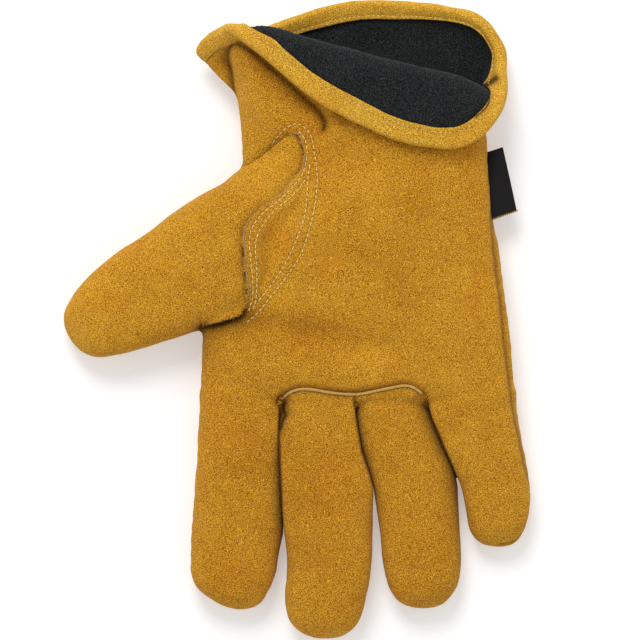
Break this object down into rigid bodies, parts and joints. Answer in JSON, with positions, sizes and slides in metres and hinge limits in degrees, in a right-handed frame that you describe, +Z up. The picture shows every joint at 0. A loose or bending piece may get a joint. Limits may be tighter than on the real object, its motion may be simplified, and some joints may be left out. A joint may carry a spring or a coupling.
{
  "type": "lined driver glove",
  "caption": "Right-hand work glove of tan split suede with a black fleece lining, lying palm up with the front of its cuff folded out over the palm.",
  "frame": {"origin": "middle of the glove's box, on the surface that it lies on", "axes": "+Y from the finger tips to the cuff, thumb towards -X, +Z up out of the palm"},
  "size_m": [0.1898, 0.2589, 0.0457],
  "materials": {
    "suede": "tan split suede, matt nap with orange-brown mottling",
    "hem": "tan split suede, a shade lighter",
    "fleece": "charcoal-black fleece, matt pile",
    "piping": "beige-grey raw leather edge",
    "webbing": "black woven tape, bare",
    "thread": "cream-yellow sewing thread"
  },
  "bodies": {
    "root": {"palm_panel": "suede", "middle_front": "suede", "ring_front": "suede", "back_panel": "suede", "thumb_panel": "suede", "thumb_gusset": "suede", "fourchette_index_middle": "suede", "fourchette_middle_ring": "suede", "fourchette_ring_little": "suede", "cuff_hem": "hem", "lining": "fleece", "knuckle_welt": "piping", "label_tab": "webbing"}
  },
  "joints": []
}
